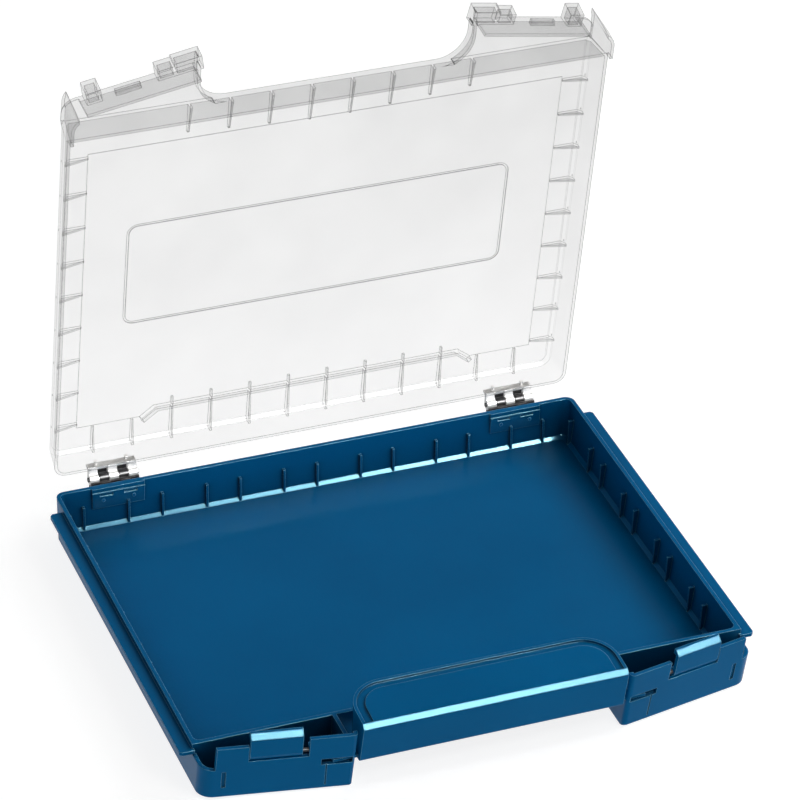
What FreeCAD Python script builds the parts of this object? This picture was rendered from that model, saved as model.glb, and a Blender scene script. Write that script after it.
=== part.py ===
import FreeCAD, Part
import math
import os

# Flat parts case with a clear hinged lid, in millimetres.
# X runs along the front, the handle is at -Y, the hinges are at +Y, and Z is up.
# The lid is drawn shut and then turned to the open pose.

# Tray
tray_width = 351.0
tray_depth = 262.0
tray_height = 31.0
tray_wall = 2.6
tray_floor = 3.0
side_draft = 0.2
inner_draft = 2.5
rear_draft = 3.0
tray_corner_radius = 6.0
inner_front_radius = 4.0
floor_bevel = 2.0
foot_bevel = 1.5
overrun = 1.0

# Front wings
wing_width = 89.4
wing_reach = 30.1
wing_height = 43.5
wing_lean_share = 0.16
wing_sweep_angle = 10.3
wing_corner_radius = 10.0
wing_tip_radius = 2.5
corner_lip_height = 24.0
corner_lip_length = 7.8
outer_block_drop = 2.0
seam_offset = 16.5
seam_width = 0.8
seam_depth = 0.6
seam_foot = 4.0
corner_slot_offset = 76.0
corner_slot_width = 2.4
corner_slot_depth = 1.0
corner_slot_foot = 9.0
corner_slot_height = 13.0

# Side rails
rail_reach = 8.0
rail_thickness = 2.5
rail_top = 27.6
rail_rear_setback = 16.1
rail_front_run = 1.7
rail_end_bevel = 1.6

# Divider ribs of the tray
grid_pitch = 52.0
grid_shift = 13.0
rear_rib_spread = 29.6
rear_rib_height = 16.5
side_rib_spread = 19.2
side_rib_height = 18.5
rib_thickness = 1.5
rib_reach = 3.2
rib_toe_share = 0.55

# Hinges
hinge_inset = 40.9
hinge_width = 31.5
hinge_offset = 7.1
hinge_rise = 0.0
knuckle_count = 5
knuckle_gap = 0.5
knuckle_radius = 3.4
leaf_thickness = 1.6
base_leaf_height = 15.2
base_leaf_top_gap = 0.8
base_arm_height = 3.7
lid_leaf_height = 4.6
lid_leaf_lift = 2.5
lid_arm_height = 1.6
arm_half_width = 1.8
cradle_gap = 0.4
cradle_thickness = 1.4
hinge_pin_radius = 1.5
hinge_pin_overhang = 0.8
running_clearance = 0.05
seat_clearance = 0.02
stop_post_near = 1.8
stop_post_far = 3.7
stop_clearance = 0.1
lid_open_angle = 84.0

# Rivets and the pads that they hold
rivet_radius = 0.8
rivet_head_radius = 1.2
rivet_head_height = 0.6
rivet_spread = 20.0
base_rivet_height = 22.4
lid_rivet_rise = 5.6
pad_margin = 1.5
pad_thickness = 0.6
pad_foot = 16.5
pad_height = 11.5
pad_slot_length = 8.5
pad_slot_height = 1.8
pad_slot_depth = 1.2
pad_slot_spread = 16.0
pad_slot_rise = 8.6

# Grip hood
hood_top = 52.0
hood_front_drop = 2.6
hood_foot = 20.0
hood_side_gap = 2.4
hood_rear_gap = 1.2
hood_corner_radius = 22.0
hood_edge_bevel = 3.0
hood_foot_radius = 2.2
hood_skin = 3.2
hood_end = 3.2
grip_thickness = 5.5
groove_inset = 2.0
groove_width = 5.0
groove_depth = 1.6
groove_front_gap = 1.0
tongue_length = 15.5
tongue_depth = 11.0
tongue_setback = 3.2
tongue_foot = 21.5
tongue_thickness = 1.8
tongue_clearance = 0.3
window_start = 1.5
window_length = 18.5
window_margin = 0.5
window_head_room = 2.4

# Latches
latch_start = 31.5
latch_width = 31.0
latch_side_gap = 0.5
latch_notch = 3.5
latch_top = 50.0
latch_thickness = 2.6
latch_edge_bevel = 3.4
latch_pivot_height = 32.5
latch_pivot_setback = 3.0
latch_barrel_radius = 2.8
latch_pocket_gap = 0.4
latch_pin_radius = 1.25
latch_ear_width = 4.0
latch_ear_margin = 2.6
latch_ear_drop = 6.0
latch_ear_rise = 3.4
hook_reach = 5.2
hook_height = 3.6

# Lid
lid_side_inset = 2.2
lid_top = 52.6
lid_panel = 2.2
lid_wall = 2.0
lid_draft = 2.6
lid_edge_bevel = 2.4
lid_corner_radius = 8.0
rim_gap = 0.4
lid_front_gap = 0.3
cutout_side_gap = 1.0
cutout_corner_radius = 19.5
wing_plate_setback = 1.5
wing_wall_foot = 34.0
wing_wall_start = 4.6
wing_wall_end = 76.0
lug_clearance = 0.6
lug_wall = 1.6
inner_lug_start = -0.4
inner_lug_length = 17.6
middle_lug_length = 11.6
middle_lug_setback = 1.6
lug_split = 0.8
outer_lug_length = 9.5
skirt_gap = 0.7
catch_start = 39.0
catch_width = 16.0
catch_rise = 42.5
catch_height = 3.4
catch_reach = 3.2
catch_bevel = 1.2

# Ribs, raised panel and bare name frame of the lid
lid_rib_pitch = 26.0
lid_rib_thickness = 1.3
lid_rib_height = 5.0
lid_rib_toe_share = 0.3
side_rib_length = 15.3
lid_side_first = 25.0
lid_rib_end_gap = 20.0
rear_rib_length = 18.5
rear_step_length = 7.5
rear_step_inset = 70.3
rear_step_slant = 9.0
rear_step_thickness = 2.0
rear_step_height = 4.4
rear_rib_run_on = 5.0
front_rib_run_on = 8.0
front_rib_length = 25.5
front_rib_shrink = 1.8
plateau_step = 0.25
frame_side_inset = 48.0
frame_front = -24.5
frame_rear = 52.6
frame_radius = 7.0
frame_bead = 1.3
frame_height = 0.4

# Places that follow from the sizes
V = FreeCAD.Vector
ORIGIN = V(0, 0, 0)
X_AXIS = V(1, 0, 0)
Y_AXIS = V(0, 1, 0)
Z_AXIS = V(0, 0, 1)
sweep = math.radians(wing_sweep_angle)
half_width = tray_width / 2
half_gap = half_width - wing_width
lid_half = half_width - lid_side_inset
rear_y = (tray_depth + wing_reach + wing_lean_share * tray_height) / 2
front_wall_y = rear_y - tray_depth
wing_foot_y = front_wall_y - wing_reach
rear_inner_y = rear_y - tray_wall - rear_draft / 2
lid_rim = tray_height + rim_gap
lid_ceiling = lid_top - lid_panel
hinge_centre = half_width - hinge_inset
hinge_y = rear_y + hinge_offset
hinge_z = tray_height + hinge_rise
latch_end = latch_start + latch_width
pocket_start = latch_start - latch_side_gap - latch_notch
pocket_end = latch_end + latch_side_gap
latch_pivot_y = latch_pivot_setback - wing_lean_share * latch_pivot_height
pocket_floor = latch_pivot_height - latch_barrel_radius - latch_pocket_gap
outer_block_height = wing_height - outer_block_drop
corner_x = half_width - corner_lip_length
hood_half = half_gap - hood_side_gap
hood_rear_y = front_wall_y - hood_rear_gap
lid_front_y = front_wall_y - lid_front_gap
cutout_x = half_gap + cutout_side_gap
pad_half = hinge_width / 2 + pad_margin
rear_step_half = lid_half - rear_step_inset


# Plain shapes
def outline_wire(corners, height):
    """Closed wire through (x, y, radius) corners, with a tangent arc where the radius is not zero."""
    arrivals, departures, crowns = [], [], []
    for index, (x, y, radius) in enumerate(corners):
        corner = V(x, y, height)
        before = corners[index - 1]
        after = corners[(index + 1) % len(corners)]
        back = (V(before[0], before[1], height) - corner).normalize()
        ahead = (V(after[0], after[1], height) - corner).normalize()
        crown = None
        reach = 0
        if radius > 0:
            half = back.getAngle(ahead) / 2
            reach = radius / math.tan(half)
            middle = (back + ahead).normalize()
            crown = corner + middle * (radius / math.sin(half) - radius)
        arrivals.append(corner + back * reach)
        departures.append(corner + ahead * reach)
        crowns.append(crown)
    edges = []
    for index, crown in enumerate(crowns):
        if crown is not None:
            edges.append(Part.Arc(arrivals[index], crown, departures[index]).toShape())
        following = arrivals[(index + 1) % len(corners)]
        edges.append(Part.LineSegment(departures[index], following).toShape())
    return Part.Wire(edges)


def slab(corners, bottom, top):
    """Upright prism over a plan outline."""
    return Part.Face(outline_wire(corners, bottom)).extrude(V(0, 0, top - bottom))


def taper(layers):
    """Solid with straight sides through (outline, height) layers."""
    wires = [outline_wire(corners, height) for corners, height in layers]
    return Part.makeLoft(wires, True, True)


def block(x_range, y_range, z_range):
    """Box between pairs of limits."""
    low = V(x_range[0], y_range[0], z_range[0])
    size = V(x_range[1], y_range[1], z_range[1]) - low
    return Part.makeBox(size.x, size.y, size.z, low)


def bar_x(corners, start, end):
    """Prism along X over a (y, z, radius) profile."""
    bar = Part.Face(outline_wire(corners, 0)).extrude(V(0, 0, end - start))
    bar.rotate(ORIGIN, V(1, 1, 1), 120)
    bar.translate(V(start, 0, 0))
    return bar


def rod_x(y, z, radius, start, end):
    """Round rod along X."""
    return Part.makeCylinder(radius, end - start, V(start, y, z), X_AXIS)


def sharp(points):
    """Outline corners without radii."""
    return [(a, b, 0) for a, b in points]


def joined(shapes):
    """One solid out of touching or overlapping shapes."""
    whole = shapes[0].multiFuse(shapes[1:]).removeSplitter()
    return whole.Solids[0] if len(whole.Solids) == 1 else whole


def without(shape, tools):
    """Shape with the tools cut away."""
    rest = shape.cut(tools)
    return rest.Solids[0] if len(rest.Solids) == 1 else rest


def mirrored(shape):
    """The same piece for the left side."""
    return shape.mirror(ORIGIN, X_AXIS)


def both(shape):
    """A right-hand shape and its mirror image."""
    return [shape, mirrored(shape)]


def on_wing(shape):
    """Place a shape drawn along the right wing's front, X along it and -Y outwards."""
    placed = shape.copy()
    placed.rotate(ORIGIN, Z_AXIS, wing_sweep_angle)
    placed.translate(V(half_gap, wing_foot_y, 0))
    return placed


def opened(shape):
    """Turn a piece of the shut lid to the open pose."""
    turned = shape.copy()
    turned.rotate(V(0, hinge_y, hinge_z), X_AXIS, -lid_open_angle)
    return turned


def save(name, shape):
    """Write one piece."""
    shape.exportStep("parts/" + name + ".step")
    print(name, "solids", len(shape.Solids), "valid", shape.isValid(), "volume", round(shape.Volume, 1))


# Outlines of the tray and of the wings
def tray_outline(height, inset, front_radius, extra=0):
    """Plan of the tray box at a height, moved inwards by a wall."""
    rise = 1 - height / tray_height
    x = half_width - (inner_draft if inset else side_draft) * rise - inset - extra
    y = rear_y - rear_draft * rise - inset - extra
    front = front_wall_y + inset + (extra if front_radius else 0)
    radius = tray_corner_radius - inset
    return [(-x, front, front_radius), (x, front, front_radius), (x, y, radius), (-x, y, radius)]


def lean(height):
    """How far the wing's front stands forward of its foot at a height."""
    return wing_lean_share * height


def front_line(x, height):
    """Y of the right wing's front at an X and a height."""
    return wing_foot_y + (x - half_gap) * math.tan(sweep) - lean(height) / math.cos(sweep)


def tray_side(height):
    """Half width of the tray at a height."""
    return half_width - side_draft * max(1 - height / tray_height, 0)


def lid_side(height):
    """Half width of the shut lid at a height."""
    return lid_half - lid_draft * max((height - lid_rim) / (lid_top - lid_rim), 0)


def wing_outline(height, side_at, inset, extra=0):
    """Plan of the right wing at a height, moved inwards by a wall and run on into the tray."""
    inner = half_gap + inset
    back_y = front_wall_y + wing_corner_radius
    side = side_at(height) - inset - extra
    forward = (inset + extra) / math.cos(sweep)
    tip = front_line(inner, height) + forward
    corner = front_line(side, height) + forward
    tip_radius = max(wing_tip_radius - inset, 0)
    corners = [(inner, back_y, 0), (inner, tip, tip_radius)]
    return corners + [(side, corner, wing_corner_radius - inset), (side, back_y, 0)]


# Tray
def rear_rib_places():
    """X of the ribs on the rear and front walls, in pairs on the grid, out to both corners."""
    limit = half_width - tray_wall - inner_draft / 2 - rib_reach * 2
    near, far = grid_shift - rear_rib_spread / 2, grid_shift + rear_rib_spread / 2
    places = []
    for first, way in ((near, 1), (far, 1), (near - grid_pitch, -1), (far - grid_pitch, -1)):
        count = int((limit - way * first) / grid_pitch) + 1
        places += [first + way * grid_pitch * step for step in range(count)]
    return places


def side_rib_places():
    """Y of the ribs on the side walls: one beside the rear corner, then pairs on the grid."""
    clear = rear_inner_y - side_rib_spread - front_wall_y - tray_wall
    places = [rear_inner_y - side_rib_spread / 2]
    for row in range(int(clear / grid_pitch)):
        centre = rear_inner_y - grid_pitch * (row + 1)
        places += [centre - side_rib_spread / 2, centre + side_rib_spread / 2]
    return places


def tray_ribs():
    """Upright divider ribs on the rear, front and side walls."""
    ribs = []
    foot = tray_floor - overrun
    rear_top = tray_floor + rear_rib_height
    side_top = tray_floor + side_rib_height
    toe = rib_reach * rib_toe_share
    rear_face = rear_y - tray_wall - overrun / 2
    front_face = front_wall_y + overrun / 2
    rear_near = rear_inner_y - rib_reach
    front_near = front_wall_y + tray_wall + rib_reach
    rear_rib = [(rear_face, foot), (rear_face, rear_top)]
    rear_rib += [(rear_near + rib_reach - toe, rear_top), (rear_near, foot)]
    front_rib = [(front_face, foot), (front_face, rear_top)]
    front_rib += [(front_near - rib_reach + toe, rear_top), (front_near, foot)]
    for x in rear_rib_places():
        start, end = x - rib_thickness / 2, x + rib_thickness / 2
        ribs += [bar_x(sharp(rear_rib), start, end), bar_x(sharp(front_rib), start, end)]
    inner_x = half_width - tray_wall - inner_draft / 2
    trim = slab([(x, y, 0) for x, y, _ in tray_outline(tray_height, tray_wall / 2, 0)], foot, side_top)
    for y in side_rib_places():
        y_range = (y - rib_thickness / 2, y + rib_thickness / 2)
        low = block((inner_x - rib_reach, half_width - tray_wall), y_range, (foot, side_top))
        ribs += both(low.common(trim))
    return ribs


def hinge_pads():
    """Flat pads inside and outside the rear wall where the hinge leaves are riveted on."""
    pads = []
    x_range = (hinge_centre - pad_half, hinge_centre + pad_half)
    outer = block(x_range, (rear_inner_y, rear_y), (pad_foot - pad_margin, tray_height))
    inner_face = rear_inner_y - pad_thickness
    inner = block(x_range, (inner_face, rear_inner_y + overrun), (pad_foot, pad_foot + pad_height))
    for side in (-1, 1):
        middle = hinge_centre + side * pad_slot_spread / 2
        slot_x = (middle - pad_slot_length / 2, middle + pad_slot_length / 2)
        slot_z = (pad_foot + pad_slot_rise, pad_foot + pad_slot_rise + pad_slot_height)
        inner = without(inner, [block(slot_x, (inner_face - overrun, inner_face + pad_slot_depth), slot_z)])
    for pad in (outer, inner):
        pads += both(pad)
    return pads


def side_rail():
    """Right slide rail, with a bevel at each outer corner."""
    front, rear = front_wall_y - rail_front_run, rear_y - rail_rear_setback
    inner, outer = half_width - tray_wall / 2, half_width + rail_reach
    plan = [(inner, front), (outer - rail_end_bevel, front), (outer, front + rail_end_bevel)]
    plan += [(outer, rear - rail_end_bevel), (outer - rail_end_bevel, rear), (inner, rear)]
    return slab(sharp(plan), rail_top - rail_thickness, rail_top)


def wing_shell():
    """Right wing: hollow, open above, with the latch pocket, the handle window and the low outer corner."""
    back = front_wall_y + tray_wall / 2
    far = half_width + rail_reach
    ahead = wing_foot_y - wing_reach
    above = wing_height + overrun
    outer = taper([(wing_outline(0, tray_side, 0, foot_bevel), 0),
                   (wing_outline(foot_bevel, tray_side, 0), foot_bevel),
                   (wing_outline(tray_height, tray_side, 0), tray_height),
                   (wing_outline(wing_height, tray_side, 0), wing_height)])
    outer = outer.common(block((half_gap - overrun, far), (ahead, back), (0, above)))
    hollow = taper([(wing_outline(tray_floor, tray_side, tray_wall), tray_floor),
                    (wing_outline(tray_height, tray_side, tray_wall), tray_height),
                    (wing_outline(above, tray_side, tray_wall), above)])
    hollow = hollow.common(block((half_gap, far), (ahead, front_wall_y), (0, above)))
    strip_y = (front_wall_y - tray_wall, back + overrun)
    rear_strip = block((half_gap - overrun, far), strip_y, (tray_height, above))
    corner = block((corner_x, far), (ahead, back + overrun), (corner_lip_height, above))
    end_front = front_line(half_gap, tray_height) + tray_wall / math.cos(sweep)
    end_x = (half_gap - overrun, half_gap + tray_wall + overrun)
    low_end = block(end_x, (end_front, back + overrun), (tray_height, above))
    outer_block = block((pocket_end, far), (-wing_reach, tray_wall), (outer_block_height, above))
    pocket = block((pocket_start, pocket_end), (-wing_reach, tray_wall), (pocket_floor, above))
    window_top = tongue_foot + tongue_thickness + window_head_room
    window = block((window_start, window_start + window_length), (-wing_reach, tray_wall),
                   (tongue_foot - window_margin, window_top))
    seam_top = tongue_foot - window_margin
    seam = groove(seam_offset, seam_width, seam_depth, seam_foot, seam_top)
    corner_slot_top = corner_slot_foot + corner_slot_height
    corner_slot = groove(corner_slot_offset, corner_slot_width, corner_slot_depth,
                         corner_slot_foot, corner_slot_top)
    tongue_y = hood_front_y(tongue_foot) + tongue_setback
    slot_y = (tongue_y - tongue_clearance, tongue_y + tongue_depth + tongue_clearance)
    slot_z = (tongue_foot - tongue_clearance, tongue_foot + tongue_thickness + tongue_clearance)
    tongue_slot = block((half_gap - overrun, half_gap + tray_wall + overrun), slot_y, slot_z)
    cuts = [hollow, rear_strip, corner, low_end, tongue_slot]
    cuts += [on_wing(tool) for tool in (outer_block, pocket, window, seam, corner_slot)]
    shell = without(outer, cuts)
    ear_z = (latch_pivot_height - latch_ear_drop, latch_pivot_height + latch_ear_rise)
    ear_y = (-lean(ear_z[0]), latch_pivot_y + latch_ear_margin)
    ears = []
    for start in (pocket_start - latch_ear_width, pocket_end):
        ears.append(on_wing(block((start, start + latch_ear_width), ear_y, ear_z)))
    bore = rod_x(latch_pivot_y, latch_pivot_height, latch_pin_radius + seat_clearance,
                 pocket_start - latch_ear_width - overrun, pocket_end + latch_ear_width)
    return without(joined([shell] + ears), [on_wing(bore)])


def groove(offset, width, depth, foot, top):
    """Cutter for an upright groove in the leaning wing front."""
    points = [(depth - lean(foot), foot), (depth - lean(top), top)]
    points += [(-lean(top) - wing_reach, top), (-lean(foot) - wing_reach, foot)]
    return bar_x(sharp(points), offset, offset + width)


def base_tray():
    """Blue tray: tapered box, ribs, pads, rails and both wings."""
    box = taper([(tray_outline(0, 0, 0, foot_bevel), 0), (tray_outline(foot_bevel, 0, 0), foot_bevel),
                 (tray_outline(tray_height, 0, 0), tray_height)])
    bevel_top = tray_floor + floor_bevel
    above = tray_height + overrun
    hollow = taper([(tray_outline(tray_floor, tray_wall, inner_front_radius, floor_bevel), tray_floor),
                    (tray_outline(bevel_top, tray_wall, inner_front_radius), bevel_top),
                    (tray_outline(above, tray_wall, inner_front_radius), above)])
    tub = without(box, [hollow])
    tray = joined([tub] + tray_ribs() + hinge_pads() + both(side_rail()) + both(wing_shell()))
    return without(tray, rivet_holes(0, tray_depth, base_rivet_height))


# Grip hood
def hood_front_y(height):
    """Y of the hood's front at a height, in line with the tips of the wings."""
    return wing_foot_y - lean(height) / math.cos(sweep)


def hood_plan(inset, front_y):
    """Plan of the hood, moved inwards."""
    x = hood_half - inset
    y = hood_rear_y - inset
    radius = hood_corner_radius - inset
    return [(-x, front_y, 0), (x, front_y, 0), (x, y, radius), (-x, y, radius)]


def hood_profile(rear, front_shift, bottom, sink, bevel):
    """Side profile of the hood, moved inwards, with its top sloping down to the front."""
    top = hood_top - sink
    low_top = hood_top - hood_front_drop - sink
    near = hood_front_y(low_top) + front_shift
    profile = [(rear, bottom), (rear, top), (near + bevel, low_top)]
    return profile + [(hood_front_y(low_top - bevel) + front_shift, low_top - bevel)]


def handle_hood():
    """Hollow grip, open below, with a rim groove on top and a snap tongue at each end."""
    ahead = hood_front_y(hood_top) - grip_thickness
    above = hood_top + overrun
    profile = sharp(hood_profile(hood_rear_y, 0, hood_foot, 0, hood_edge_bevel))
    profile += [(hood_front_y(hood_foot), hood_foot, hood_foot_radius)]
    outer = bar_x(profile, -hood_half, hood_half).common(slab(hood_plan(0, ahead), hood_foot, hood_top))
    low = hood_foot - grip_thickness
    inner = sharp(hood_profile(hood_rear_y - hood_skin, grip_thickness, low, hood_skin, hood_edge_bevel))
    inner += [(hood_front_y(low) + grip_thickness, low, 0)]
    inner_plan = slab(hood_plan(hood_end, ahead), low, hood_top)
    hollow = bar_x(inner, -hood_half, hood_half).common(inner_plan)
    groove_front = hood_front_y(hood_top) + hood_edge_bevel + groove_front_gap
    ring = slab(hood_plan(groove_inset, groove_front), hood_foot, above)
    ring = ring.cut(slab(hood_plan(groove_inset + groove_width, ahead), hood_foot, above))
    front = hood_front_y(hood_top - hood_front_drop)
    rear_floor = hood_top - groove_depth
    over = [(hood_rear_y, rear_floor), (hood_rear_y, above), (front, above)]
    over += [(front, rear_floor - hood_front_drop)]
    hood = without(outer, [hollow, ring.common(bar_x(sharp(over), -hood_half, hood_half))])
    tongue_y = hood_front_y(tongue_foot) + tongue_setback
    tongue_x = (hood_half - hood_end / 2, hood_half + tongue_length)
    tongue_z = (tongue_foot, tongue_foot + tongue_thickness)
    tongue = block(tongue_x, (tongue_y, tongue_y + tongue_depth), tongue_z)
    return joined([hood] + both(tongue))


# Latches
def latch_flap():
    """Right latch, standing in line with the wing's front."""
    hook_foot = latch_top - hook_height
    shoulder = latch_top - latch_edge_bevel
    foot = latch_pivot_height
    profile = [(-lean(foot), foot), (-lean(shoulder), shoulder)]
    profile += [(latch_edge_bevel - lean(latch_top), latch_top), (hook_reach - lean(latch_top), latch_top)]
    profile += [(hook_reach - lean(hook_foot), hook_foot), (latch_thickness - lean(hook_foot), hook_foot)]
    profile += [(latch_thickness - lean(foot), foot)]
    plate = bar_x(sharp(profile), latch_start, latch_end)
    barrel = rod_x(latch_pivot_y, latch_pivot_height, latch_barrel_radius, latch_start, latch_end)
    bore = rod_x(latch_pivot_y, latch_pivot_height, latch_pin_radius + running_clearance,
                 latch_start - overrun, latch_end + overrun)
    return on_wing(without(joined([plate, barrel]), [bore]))


def latch_pin():
    """Pivot pin of the right latch, held in the two ears of the wing."""
    return on_wing(rod_x(latch_pivot_y, latch_pivot_height, latch_pin_radius,
                         pocket_start - latch_ear_width, pocket_end + latch_ear_width))


# Lid, drawn shut
def lid_outline(inset, front_inset, draft):
    """Plan of the lid box, moved inwards by a wall and by the side draft."""
    x = lid_half - inset - draft
    y = rear_y - inset
    radius = lid_corner_radius - inset
    front = lid_front_y + front_inset
    return [(-x, front, 0), (x, front, 0), (x, y, radius), (-x, y, radius)]


def lid_box():
    """Open box of the lid, with bevelled top edges."""
    shoulder = lid_top - lid_edge_bevel
    outer = taper([(lid_outline(0, 0, 0), lid_rim), (lid_outline(0, 0, lid_draft), shoulder),
                   (lid_outline(lid_edge_bevel, 0, lid_draft), lid_top)])
    inner_shoulder = lid_ceiling - lid_edge_bevel
    hollow = taper([(lid_outline(lid_wall, lid_wall, 0), lid_rim - overrun),
                    (lid_outline(lid_wall, lid_wall, lid_draft), inner_shoulder),
                    (lid_outline(lid_wall + lid_edge_bevel, lid_wall, lid_draft), lid_ceiling)])
    return without(outer, [hollow])


def lug(start, length, setback, foot):
    """Hollow front lug of the right lid wing, open towards the inside of the lid."""
    back = wing_plate_setback + lid_wall / 2
    front = [(setback - lean(foot), foot), (setback - lean(lid_top), lid_top)]
    solid = bar_x(sharp(front + [(back, lid_top), (back, foot)]), start, start + length)
    low, high = foot + lug_wall, lid_top - lug_wall
    inset = setback + lug_wall
    back += overrun
    front = [(inset - lean(low), low), (inset - lean(high), high)]
    room = bar_x(sharp(front + [(back, high), (back, low)]), start + lug_wall, start + length - lug_wall)
    return on_wing(without(solid, [room]))


def lid_wing():
    """Right front wing of the lid: plate, wall, three lugs, corner skirt and cut-out end."""
    plate_front = wing_foot_y + wing_plate_setback / math.cos(sweep)
    back = lid_front_y + lid_wall / 2
    side = lid_half - lid_draft
    slope = math.tan(sweep)
    run_on = back + wing_corner_radius
    plan = [(cutout_x, run_on, 0), (cutout_x, plate_front + (cutout_x - half_gap) * slope, 0)]
    plan += [(side, plate_front + (side - half_gap) * slope, wing_corner_radius), (side, run_on, 0)]
    plate = slab(plan, lid_ceiling, lid_top)
    plate = plate.common(block((0, side), (wing_foot_y - wing_reach, back), (0, lid_top)))
    wall_y = (wing_plate_setback, wing_plate_setback + lid_wall)
    wall_top = lid_ceiling + lid_panel / 2
    wall = on_wing(block((wing_wall_start, wing_wall_end), wall_y, (wing_wall_foot, wall_top)))
    foot = wing_height + lug_clearance
    middle_start = inner_lug_start + inner_lug_length - lug_split
    outer_foot = outer_block_height + lug_clearance
    lugs = [lug(inner_lug_start, inner_lug_length, 0, foot),
            lug(middle_start, middle_lug_length, middle_lug_setback, foot),
            lug(pocket_end + lug_clearance, outer_lug_length, 0, outer_foot)]
    skirt_foot = corner_lip_height + skirt_gap
    skirt_back = lid_front_y + lid_wall
    skirt_low, skirt_high = skirt_foot - overrun, lid_top + overrun
    levels = (skirt_low, lid_rim, skirt_high)
    outer = taper([(wing_outline(level, lid_side, 0), level) for level in levels])
    inner = taper([(wing_outline(level, lid_side, lid_wall), level) for level in levels])
    far = half_width + rail_reach
    keep_y = (wing_foot_y - wing_reach, skirt_back)
    keep = block((corner_x + lug_clearance, far), keep_y, (skirt_foot, wall_top))
    sill_y = (lid_front_y - lid_front_gap, skirt_back + overrun)
    sill = block((corner_x, far), sill_y, (skirt_foot - overrun, lid_rim))
    skirt = outer.common(keep).cut([inner, sill])
    centre_x, centre_y = cutout_x - cutout_corner_radius, lid_front_y - cutout_corner_radius
    square = ((centre_x, cutout_x + lid_wall), (centre_y, lid_front_y + lid_wall / 2))
    web = block(square[0], square[1], (lid_ceiling, lid_top))
    rail = block(square[0], square[1], (foot, lid_top))
    outer_round = Part.makeCylinder(cutout_corner_radius + lid_wall, lid_top, V(centre_x, centre_y, 0))
    inner_round = Part.makeCylinder(cutout_corner_radius, lid_top + overrun, V(centre_x, centre_y, 0))
    arch = rail.common(outer_round).cut(inner_round)
    cheek_front = front_line(cutout_x, foot) + lug_wall
    cheek = block((cutout_x, cutout_x + lid_wall), (cheek_front, centre_y), (foot, lid_top))
    return [plate, wall, web.cut(inner_round), arch, cheek, skirt] + lugs


def lid_ribs():
    """Stiffening ribs around the panel, the stepped bar at the rear and the shallow raised panel."""
    pieces = []
    top = lid_ceiling + lid_panel / 2
    low = lid_ceiling - lid_rib_height
    toe = lid_ceiling - lid_rib_height * lid_rib_toe_share
    side_x = lid_half - lid_draft - lid_wall / 2
    end_x = lid_half - lid_draft - lid_wall - side_rib_length
    side_clear = rear_y - lid_front_y - lid_wall - lid_side_first - lid_rib_pitch / 2
    for row in range(int(side_clear / lid_rib_pitch) + 1):
        y = rear_y - lid_side_first - row * lid_rib_pitch
        points = [V(side_x, y, top), V(side_x, y, low), V(end_x, y, toe), V(end_x, y, top)]
        fin = Part.Face(Part.makePolygon(points + points[:1]))
        pieces += both(fin.extrude(V(0, lid_rib_thickness, 0)))
    rear_face = rear_y - lid_wall / 2
    step_y = rear_y - lid_wall - rear_rib_length
    rear_clear = lid_half - lid_draft - lid_wall - lid_rib_end_gap - lid_rib_pitch / 2
    for column in range(int(rear_clear / lid_rib_pitch) + 1):
        x = (column + 1 / 2) * lid_rib_pitch
        end = step_y - (rear_step_length + rear_rib_run_on if x < rear_step_half else 0)
        points = [(rear_face, top), (rear_face, low), (end, toe), (end, top)]
        pieces += both(bar_x(sharp(points), x - lid_rib_thickness / 2, x + lid_rib_thickness / 2))
    front_face = lid_front_y + lid_wall / 2
    front_clear = cutout_x + front_rib_run_on - lid_rib_pitch / 2
    for column in range(int(front_clear / lid_rib_pitch) + 1):
        x = (column + 1 / 2) * lid_rib_pitch
        end = lid_front_y + lid_wall + front_rib_length - front_rib_shrink * column
        points = [(front_face, top), (front_face, low), (end, toe), (end, top)]
        pieces += both(bar_x(sharp(points), x - lid_rib_thickness / 2, x + lid_rib_thickness / 2))
    near = step_y - rear_step_length
    wide = rear_step_half + rear_step_slant
    thick = rear_step_thickness
    bar = [(-wide, step_y), (-rear_step_half, near), (rear_step_half, near), (wide, step_y)]
    bar += [(wide - thick, step_y + thick), (rear_step_half - thick, near + thick)]
    bar += [(thick - rear_step_half, near + thick), (thick - wide, step_y + thick)]
    pieces.append(slab(sharp(bar), lid_ceiling - rear_step_height, top))
    front = lid_front_y + lid_wall + front_rib_length
    plateau = [(-end_x, front), (end_x, front), (end_x, step_y), (wide, step_y), (rear_step_half, near)]
    plateau += [(-rear_step_half, near), (-wide, step_y), (-end_x, step_y)]
    pieces.append(slab(sharp(plateau), lid_ceiling - plateau_step, top))
    return pieces


def name_frame():
    """Raised bead of the bare name frame on the outside of the lid."""
    def frame(inset):
        x, radius = lid_half - frame_side_inset - inset, frame_radius - inset
        front, rear = frame_front + inset, frame_rear - inset
        corners = [(-x, front, radius), (x, front, radius), (x, rear, radius), (-x, rear, radius)]
        return slab(corners, lid_top - lid_panel / 2, lid_top + frame_height)
    return frame(0).cut(frame(frame_bead))


def lid_shell():
    """Clear lid, still shut."""
    wings = []
    for piece in lid_wing():
        wings += both(piece)
    lid = joined([lid_box()] + wings + lid_ribs() + [name_frame()])
    return without(lid, rivet_holes(0, tray_depth, hinge_z + lid_rivet_rise))


def lid_catch():
    """Right catch ledge on the lid's front wall, still shut."""
    front = wing_plate_setback - catch_reach
    high = catch_rise + catch_height
    profile = [(wing_plate_setback, catch_rise, 0), (wing_plate_setback, high, 0), (front, high, 0)]
    profile += [(front, catch_rise + catch_bevel, 0), (front + catch_bevel, catch_rise, 0)]
    return on_wing(bar_x(profile, catch_start, catch_start + catch_width))


# Hinges
def rivet_places():
    """X of the rivets of the right hinge."""
    return (hinge_centre - rivet_spread / 2, hinge_centre + rivet_spread / 2)


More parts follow.
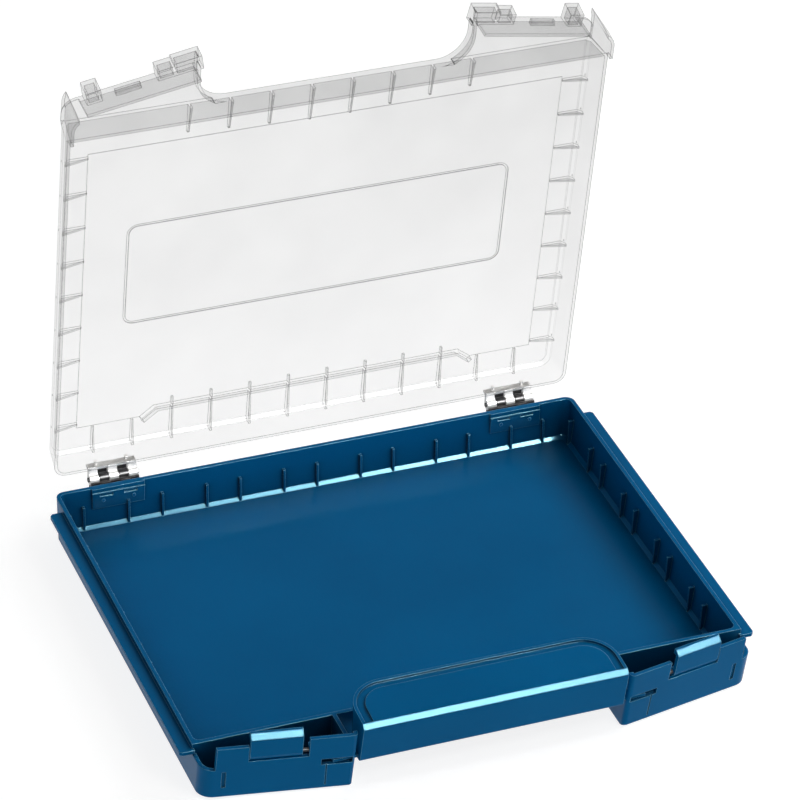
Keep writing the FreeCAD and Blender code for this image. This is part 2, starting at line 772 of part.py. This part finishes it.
def rivet_holes(start, length, height):
    """Cutters for the rivet holes of both hinges."""
    radius = rivet_radius + seat_clearance
    holes = [Part.makeCylinder(radius, length, V(x, start, height), Y_AXIS) for x in rivet_places()]
    return holes + [mirrored(hole) for hole in holes]


def knuckle_ranges():
    """X ranges of the knuckles of the right hinge."""
    left = hinge_centre - hinge_width / 2
    length = (hinge_width - knuckle_gap * (knuckle_count - 1)) / knuckle_count
    starts = [left + index * (length + knuckle_gap) for index in range(knuckle_count)]
    return [(start, start + length) for start in starts]


def leaf(plate_z, arm_z, arm_side, ranges, rivet_z, pin_clearance):
    """Hinge leaf: plate on the rear wall, arms and knuckles, with rivet holes and a pin bore."""
    x_range = (hinge_centre - hinge_width / 2, hinge_centre + hinge_width / 2)
    pieces = [block(x_range, (rear_y, rear_y + leaf_thickness), plate_z)]
    for start, end in ranges:
        arm = [(rear_y, arm_z[0]), (rear_y, arm_z[1]), (hinge_y - arm_half_width, hinge_z)]
        arm += [(hinge_y, hinge_z + arm_side * knuckle_radius)]
        pieces.append(bar_x(sharp(arm), start, end))
        pieces.append(rod_x(hinge_y, hinge_z, knuckle_radius, start, end))
    bore = hinge_pin_radius + pin_clearance
    holes = rivet_holes(rear_y - leaf_thickness / 2, leaf_thickness * 2, rivet_z)
    holes.append(rod_x(hinge_y, hinge_z, bore, x_range[0] - overrun, x_range[1] + overrun))
    return pieces, holes


def hinge_cradle():
    """Curled lip of the lower leaf, below and in front of the knuckles."""
    start, end = hinge_centre - hinge_width / 2, hinge_centre + hinge_width / 2
    inner = knuckle_radius + cradle_gap
    outer = inner + cradle_thickness
    ring = rod_x(hinge_y, hinge_z, outer, start, end).cut(rod_x(hinge_y, hinge_z, inner, start, end))
    return ring.common(block((start, end), (hinge_y - outer, hinge_y), (hinge_z - outer, hinge_z)))


def base_leaf():
    """Lower leaf of the right hinge, with its lip and the posts that stop the open lid."""
    top = tray_height - base_leaf_top_gap
    pieces, holes = leaf((top - base_leaf_height, top), (top - base_arm_height, top), -1,
                         knuckle_ranges()[1::2], base_rivet_height, seat_clearance)
    pieces.append(hinge_cradle())
    post_top = hinge_z + hinge_offset - leaf_thickness - stop_clearance
    post_y = (hinge_y + stop_post_near, hinge_y + stop_post_far)
    for x_range in knuckle_ranges()[1::2]:
        pieces.append(block(x_range, post_y, (hinge_z, post_top)))
    return without(joined(pieces), holes)


def lid_leaf():
    """Upper leaf of the right hinge, still shut."""
    foot = hinge_z + lid_leaf_lift
    pieces, holes = leaf((foot, foot + lid_leaf_height), (foot + lid_arm_height, foot), 1,
                         knuckle_ranges()[0::2], hinge_z + lid_rivet_rise, running_clearance)
    return without(joined(pieces), holes)


def hinge_pin():
    """Pin of the right hinge."""
    half = hinge_width / 2 + hinge_pin_overhang
    return rod_x(hinge_y, hinge_z, hinge_pin_radius, hinge_centre - half, hinge_centre + half)


def rivets(inner_y, height):
    """Two rivets of the right hinge, from the inside of a wall to the outside of the leaf."""
    outer_y = rear_y + leaf_thickness
    pair = []
    for x in rivet_places():
        parts = [Part.makeCylinder(rivet_radius, outer_y - inner_y, V(x, inner_y, height), Y_AXIS)]
        for y in (inner_y - rivet_head_height, outer_y):
            parts.append(Part.makeCylinder(rivet_head_radius, rivet_head_height, V(x, y, height), Y_AXIS))
        pair.append(joined(parts))
    return Part.makeCompound(pair)


# Pieces
os.makedirs("parts", exist_ok=True)
save("base_tray", base_tray())
save("handle_hood", handle_hood())
save("lid_shell", opened(lid_shell()))
paired = {
    "latch": latch_flap(),
    "latch_pin": latch_pin(),
    "lid_catch": opened(lid_catch()),
    "hinge_base_leaf": base_leaf(),
    "hinge_lid_leaf": opened(lid_leaf()),
    "hinge_pin": hinge_pin(),
    "base_rivets": rivets(rear_inner_y - pad_thickness, base_rivet_height),
    "lid_rivets": opened(rivets(rear_y - lid_wall, hinge_z + lid_rivet_rise)),
}
for name, piece in paired.items():
    save("right_" + name, piece)
    save("left_" + name, mirrored(piece))
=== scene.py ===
import math

import bpy
from mathutils import Matrix, Vector

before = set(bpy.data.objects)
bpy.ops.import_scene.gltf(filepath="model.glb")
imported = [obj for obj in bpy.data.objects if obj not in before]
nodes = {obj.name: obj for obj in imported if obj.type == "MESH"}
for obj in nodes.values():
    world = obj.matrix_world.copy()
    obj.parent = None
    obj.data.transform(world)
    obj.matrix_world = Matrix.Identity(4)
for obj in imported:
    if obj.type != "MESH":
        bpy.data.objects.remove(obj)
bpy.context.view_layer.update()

# Camera of the photograph, in degrees, millimetres of film and metres
CAMERA_AZIMUTH = -22.922
CAMERA_ELEVATION = 34.393
CAMERA_ROLL = 2.824
CAMERA_LENS = 202.327
CAMERA_SENSOR = 36.0
CAMERA_DISTANCE = 2.769011
CAMERA_SIDE = 0.001952
CAMERA_RISE = 0.129835
CAMERA_FORWARD = 0.006438
CAMERA_NEAR = 0.1
CAMERA_FAR = 50.0

# Colours, linear
WHITE = (1.0, 1.0, 1.0, 1.0)
BLUE = (0.0, 0.119, 0.304, 1.0)
BLUE_DEEP = (0.0, 0.104, 0.270, 1.0)
# Pale blue of the painted highlight along rounded edges
BLUE_EDGE_HIGHLIGHT = (0.20, 0.55, 0.78, 1.0)
SHEEN_TINT = (0.35, 0.82, 1.0, 1.0)
CLEAR_BODY = (0.20, 0.20, 0.20, 1.0)
# Dark grey of the painted shade along the lid's edges
CLEAR_EDGE_SHADE = (0.07, 0.07, 0.07, 1.0)
SILVER = (0.93, 0.92, 0.90, 1.0)
SILVER_DARK = (0.84, 0.83, 0.81, 1.0)
BLACK = (0.018, 0.018, 0.02, 1.0)
BLACK_WORN = (0.035, 0.034, 0.036, 1.0)
STEEL = (0.10, 0.105, 0.11, 1.0)
STEEL_DARK = (0.06, 0.062, 0.066, 1.0)
FLOOR_GREY = (0.3, 0.3, 0.3, 1.0)

# Noise: its detail, and the parts of its range that drive colours and other values
NOISE_DETAIL = 3.0
NOISE_ROUGHNESS = 0.5
COLOUR_BAND = (0.35, 0.65)
VALUE_BAND = (0.3, 0.7)
BEVEL_SAMPLES = 6
GRAIN_DEPTH = 0.0001

# Blue moulding: lengths in metres, noise scales per metre
BLUE_CLOUD_SCALE = 9.0
BLUE_GLOSS_SCALE = 60.0
BLUE_GRAIN_SCALE = 2600.0
BLUE_GRAIN_STRENGTH = 0.015
BLUE_ROUND = 0.0009
# Painted highlight along rounded edges: its width, the turn of the normal that marks an edge, and its share
BLUE_EDGE_WIDTH = 0.0008
BLUE_EDGE_TURN = (0.75, 0.95)
BLUE_EDGE_SHARE = 0.8
# Painted shade in recesses: reach and samples of the ambient occlusion, the band of it used, and the shade
# it gives
RECESS_REACH = 0.05
RECESS_SAMPLES = 8
RECESS_BAND = (0.35, 0.88)
RECESS_SHADE = (0.28, 1.0)
BLUE_ROUGHNESS = (0.15, 0.19)
BLUE_GLOSS = 0.035

# Clear moulding: painted shade that greys the open lid towards its top and its right side, and a cloudy
# haze, in metres
SHADE_HEIGHT = (0.06, 0.31)
SHADE_BY_HEIGHT = (0.06, 0.135)
SHADE_SIDE = (-0.15, 0.15)
SHADE_BY_SIDE = (0.9, 1.15)
HAZE_SCALE = 14.0
HAZE_CLOUD = (0.85, 1.15)
CLEAR_FACING_BLEND = 0.5
CLEAR_FACING_POWER = 4.0
CLEAR_FACING_SHARE = 0.22
# Painted shade along the lid's rounded edges: width, turn of the normal that marks an edge, and how much it
# adds
CLEAR_EDGE_WIDTH = 0.0009
CLEAR_EDGE_TURN = (0.80, 0.985)
CLEAR_EDGE_SHARE = 0.75
CLEAR_GLOSS_SCALE = 40.0
CLEAR_ROUGHNESS = (0.1, 0.18)
CLEAR_IOR = 1.5
CLEAR_GLOSS = 0.03

# Small fittings
FITTING_ROUND = 0.0003
FITTING_GRAIN_SCALE = 3000.0
FITTING_GRAIN_STRENGTH = 0.04
FITTING_ROUGHNESS = (0.25, 0.4)
PLASTIC_MOTTLE_SCALE = 120.0
STEEL_MOTTLE_SCALE = 300.0
SILVER_GLOSS = 0.5
BLACK_GLOSS = 0.04
STEEL_GLOSS = 0.05

# Stage: strengths where the background is seen, and as fill light elsewhere
FLOOR_SIZE = 12.0
FLOOR_DROP = 0.0003
FLOOR_SEEN = 0.84
FLOOR_FILL = 0.55
WORLD_SEEN = 1.0
WORLD_FILL = 0.3


class Tree:
    """Short way to write one material's node tree."""

    def __init__(self, name):
        self.material = bpy.data.materials.new(name)
        self.material.use_nodes = True
        self.tree = self.material.node_tree
        self.shader = self.tree.nodes["Principled BSDF"]
        self.output = self.tree.nodes["Material Output"]

    def add(self, kind, inputs=None, **settings):
        """New node, with settings and with input values or links by name or number."""
        node = self.tree.nodes.new(kind)
        for key, value in settings.items():
            setattr(node, key, value)
        for key, value in (inputs or {}).items():
            self.set(node, key, value)
        return node

    def set(self, node, key, value):
        """Value or link on a node's input."""
        if isinstance(value, bpy.types.NodeSocket):
            self.tree.links.new(value, node.inputs[key])
        else:
            node.inputs[key].default_value = value

    def math(self, operation, a, b, clamp=False):
        """Sum, product or other operation on two values."""
        node = self.add("ShaderNodeMath", {0: a, 1: b}, operation=operation, use_clamp=clamp)
        return node.outputs[0]

    def noise(self, scale):
        """Cloudy value that moves with the piece."""
        place = self.add("ShaderNodeTexCoord").outputs["Object"]
        values = {"Vector": place, "Scale": scale, "Detail": NOISE_DETAIL, "Roughness": NOISE_ROUGHNESS}
        return self.add("ShaderNodeTexNoise", values).outputs["Fac"]

    def span(self, value, source, target):
        """Value carried from one range to another."""
        values = {"Value": value, "From Min": source[0], "From Max": source[1]}
        values.update({"To Min": target[0], "To Max": target[1]})
        return self.add("ShaderNodeMapRange", values).outputs["Result"]

    def cloud(self, scale, band, target):
        """Noise carried from a band of its values to a range."""
        return self.span(self.noise(scale), band, target)

    def mix(self, factor, a, b, blend="MIX"):
        """Two colours mixed or multiplied."""
        node = self.add("ShaderNodeMix", data_type="RGBA", blend_type=blend)
        for key, value in (("Factor", factor), (6, a), (7, b)):
            self.set(node, key, value)
        return node.outputs[2]

    def rounded(self, radius):
        """Normal with rounded edges."""
        return self.add("ShaderNodeBevel", {"Radius": radius}, samples=BEVEL_SAMPLES).outputs["Normal"]

    def edge(self, radius, turn):
        """Share of edge at a point, from how far a rounded normal turns from the flat one."""
        flat = self.add("ShaderNodeNewGeometry").outputs["True Normal"]
        values = {0: self.rounded(radius), 1: flat}
        cosine = self.add("ShaderNodeVectorMath", values, operation="DOT_PRODUCT").outputs["Value"]
        return self.span(cosine, (turn[1], turn[0]), (0.0, 1.0))

    def grain(self, radius, scale, strength):
        """Rounded edges and a fine moulded grain on the shader's normal."""
        values = {"Strength": strength, "Distance": GRAIN_DEPTH, "Height": self.noise(scale)}
        values["Normal"] = self.rounded(radius)
        self.set(self.shader, "Normal", self.add("ShaderNodeBump", values).outputs["Normal"])


# Materials
def blue_plastic():
    """Satin blue moulding: faint cloudiness, a painted highlight along the edges, painted shade in recesses
    and a fine grain.
    """
    t = Tree("blue_plastic")
    cloudy = t.mix(t.cloud(BLUE_CLOUD_SCALE, COLOUR_BAND, (0.0, 1.0)), BLUE_DEEP, BLUE)
    # Painted highlight: pale blue mixed into the colour along every rounded edge
    edge = t.math("MULTIPLY", t.edge(BLUE_EDGE_WIDTH, BLUE_EDGE_TURN), BLUE_EDGE_SHARE)
    edge_highlighted = t.mix(edge, cloudy, BLUE_EDGE_HIGHLIGHT)
    # Painted shade: the colour is darkened where ambient occlusion finds the piece's own walls close by
    settings = {"samples": RECESS_SAMPLES, "only_local": True}
    recess = t.add("ShaderNodeAmbientOcclusion", {"Distance": RECESS_REACH}, **settings).outputs["AO"]
    shade = t.span(recess, RECESS_BAND, RECESS_SHADE)
    painted_shade_grey = t.add("ShaderNodeCombineColor", {0: shade, 1: shade, 2: shade}).outputs[0]
    t.set(t.shader, "Base Color", t.mix(1.0, edge_highlighted, painted_shade_grey, blend="MULTIPLY"))
    t.set(t.shader, "Roughness", t.cloud(BLUE_GLOSS_SCALE, VALUE_BAND, BLUE_ROUGHNESS))
    t.set(t.shader, "Specular IOR Level", BLUE_GLOSS)
    t.set(t.shader, "Specular Tint", SHEEN_TINT)
    t.grain(BLUE_ROUND, BLUE_GRAIN_SCALE, BLUE_GRAIN_STRENGTH)
    return t.material


def clear_plastic():
    """Clear moulding: nearly see-through face on, greyer where seen edge-on, with painted shade along its
    edges, and with painted shade greying it towards the front and the right of the open lid over a cloudy
    haze.
    """
    t = Tree("clear_plastic")
    place = t.add("ShaderNodeSeparateXYZ", {0: t.add("ShaderNodeTexCoord").outputs["Object"]})
    # Painted shade: the open lid greys towards its top and its right side, times a cloudy haze
    by_height = t.span(place.outputs["Z"], SHADE_HEIGHT, SHADE_BY_HEIGHT)
    by_side = t.span(place.outputs["X"], SHADE_SIDE, SHADE_BY_SIDE)
    haze_and_shade = t.math("MULTIPLY", by_height, by_side)
    haze_and_shade = t.math("MULTIPLY", haze_and_shade, t.cloud(HAZE_SCALE, VALUE_BAND, HAZE_CLOUD))
    facing = t.add("ShaderNodeLayerWeight", {"Blend": CLEAR_FACING_BLEND}).outputs["Facing"]
    along = t.math("MULTIPLY", t.math("POWER", facing, CLEAR_FACING_POWER), CLEAR_FACING_SHARE)
    # Painted shade: edges drawn darker and less see-through
    edge = t.edge(CLEAR_EDGE_WIDTH, CLEAR_EDGE_TURN)
    painted_edge_shade = t.math("MULTIPLY", edge, CLEAR_EDGE_SHARE)
    t.set(t.shader, "Alpha", t.math("ADD", t.math("ADD", haze_and_shade, along), painted_edge_shade, clamp=True))
    t.set(t.shader, "Base Color", t.mix(edge, CLEAR_BODY, CLEAR_EDGE_SHADE))
    t.set(t.shader, "Roughness", t.cloud(CLEAR_GLOSS_SCALE, VALUE_BAND, CLEAR_ROUGHNESS))
    t.set(t.shader, "IOR", CLEAR_IOR)
    t.set(t.shader, "Specular IOR Level", CLEAR_GLOSS)
    return t.material


def mottled(name, pale, dark, scale, gloss):
    """Plain satin finish with fine mottling."""
    t = Tree(name)
    t.set(t.shader, "Base Color", t.mix(t.cloud(scale, COLOUR_BAND, (0.0, 1.0)), dark, pale))
    t.set(t.shader, "Roughness", t.cloud(scale * 2, VALUE_BAND, FITTING_ROUGHNESS))
    t.set(t.shader, "Specular IOR Level", gloss)
    t.grain(FITTING_ROUND, FITTING_GRAIN_SCALE, FITTING_GRAIN_STRENGTH)
    return t.material


def dress(names, material):
    """Give nodes one material."""
    for name in names:
        mesh = nodes[name].data
        mesh.materials.clear()
        mesh.materials.append(material)


def pair(name):
    """Names of the left and the right piece."""
    return ["left_" + name, "right_" + name]


silver_plastic = mottled("silver_plastic", SILVER, SILVER_DARK, PLASTIC_MOTTLE_SCALE, SILVER_GLOSS)
black_plastic = mottled("black_plastic", BLACK, BLACK_WORN, PLASTIC_MOTTLE_SCALE, BLACK_GLOSS)
black_steel = mottled("black_steel", STEEL, STEEL_DARK, STEEL_MOTTLE_SCALE, STEEL_GLOSS)
dress(["base_tray", "handle_hood"] + pair("latch") + pair("base_rivets"), blue_plastic())
dress(["lid_shell"] + pair("lid_catch"), clear_plastic())
dress(pair("hinge_lid_leaf") + pair("lid_rivets"), silver_plastic)
dress(pair("hinge_base_leaf"), black_plastic)
dress(pair("latch_pin") + pair("hinge_pin"), black_steel)


# Stage: floor, world and lamps
class WorldTree(Tree):
    """The same for the world."""

    def __init__(self):
        world = bpy.data.worlds.new("studio")
        world.use_nodes = True
        bpy.context.scene.world = world
        self.tree = world.node_tree
        self.background = self.tree.nodes["Background"]


def by_ray(t, fill, seen):
    """Strength for rays that see the background, straight, mirrored or passed through, and for the rest."""
    path = t.add("ShaderNodeLightPath").outputs
    sees = t.math("MAXIMUM", path["Is Camera Ray"], path["Is Glossy Ray"])
    sees = t.math("MAXIMUM", sees, path["Is Transmission Ray"])
    return t.span(sees, (0.0, 1.0), (fill, seen))


def stage_floor():
    """White floor that keeps a faint shadow."""
    bpy.ops.mesh.primitive_plane_add(size=FLOOR_SIZE, location=(0.0, 0.0, -FLOOR_DROP))
    floor = bpy.context.object
    floor.name = "floor"
    t = Tree("floor_white")
    t.tree.nodes.remove(t.shader)
    diffuse = t.add("ShaderNodeBsdfDiffuse", {"Color": FLOOR_GREY}).outputs[0]
    strength = by_ray(t, FLOOR_FILL, FLOOR_SEEN)
    glow = t.add("ShaderNodeEmission", {"Color": WHITE, "Strength": strength}).outputs[0]
    both = t.add("ShaderNodeAddShader", {0: diffuse, 1: glow}).outputs[0]
    t.tree.links.new(both, t.output.inputs["Surface"])
    floor.data.materials.append(t.material)


def stage_world():
    """White where it is seen, and a plain fill light elsewhere."""
    t = WorldTree()
    t.set(t.background, "Strength", by_ray(t, WORLD_FILL, WORLD_SEEN))
    t.set(t.background, "Color", WHITE)


def lamp(name, towards, distance, size, power, gloss_only=False):
    """Soft lamp, wide and high, that looks at the object from a direction."""
    data = bpy.data.lights.new(name, "AREA")
    data.shape = "RECTANGLE"
    data.size, data.size_y = size
    data.energy = power
    obj = bpy.data.objects.new(name, data)
    bpy.context.scene.collection.objects.link(obj)
    back = Vector(towards).normalized()
    obj.location = back * distance
    obj.rotation_mode = "QUATERNION"
    obj.rotation_quaternion = back.to_track_quat("Z", "Y")
    obj.visible_diffuse = not gloss_only


stage_floor()
stage_world()
lamp("front", (0.32, -0.565, 0.76), 2.6, (0.8, 0.8), 12.0)
lamp("right", (0.75, 0.05, 0.66), 2.6, (1.0, 1.0), 26.0)

# Lamps for the bright lines on the hood, the latches and the foot of the rear wall
lamp("hood_strip", (0.304, -0.710, 0.635), 2.6, (1.2, 0.45), 1000.0, gloss_only=True)
lamp("left_strip", (0.004, -0.737, 0.676), 2.74, (0.45, 0.45), 370.0, gloss_only=True)
lamp("right_strip", (0.571, -0.600, 0.560), 2.78, (0.45, 0.45), 370.0, gloss_only=True)
lamp("rear_strip", (0.328, -0.527, 0.784), 2.6, (0.9, 0.28), 1100.0, gloss_only=True)


# Camera
def photo_camera():
    """Camera at the photograph's view: turned by three angles and moved sideways in its own plane."""
    azimuth, elevation, roll = (math.radians(a) for a in (CAMERA_AZIMUTH, CAMERA_ELEVATION, CAMERA_ROLL))
    level = math.cos(elevation)
    back = Vector((math.sin(azimuth) * level, -math.cos(azimuth) * level, math.sin(elevation)))
    right = Vector((math.cos(azimuth), math.sin(azimuth), 0.0))
    up = back.cross(right)
    side = right * math.cos(roll) + up * math.sin(roll)
    rise = up * math.cos(roll) - right * math.sin(roll)
    place = side * CAMERA_SIDE + rise * CAMERA_RISE + back * CAMERA_DISTANCE
    place += Vector((0.0, CAMERA_FORWARD, 0.0))
    data = bpy.data.cameras.new("camera")
    data.sensor_width = CAMERA_SENSOR
    data.lens = CAMERA_LENS
    data.clip_start = CAMERA_NEAR
    data.clip_end = CAMERA_FAR
    camera = bpy.data.objects.new("camera", data)
    bpy.context.scene.collection.objects.link(camera)
    turn = Matrix((side, rise, back)).transposed().to_4x4()
    camera.matrix_world = Matrix.Translation(place) @ turn
    bpy.context.scene.camera = camera


photo_camera()
bpy.context.scene.view_settings.view_transform = "Standard"
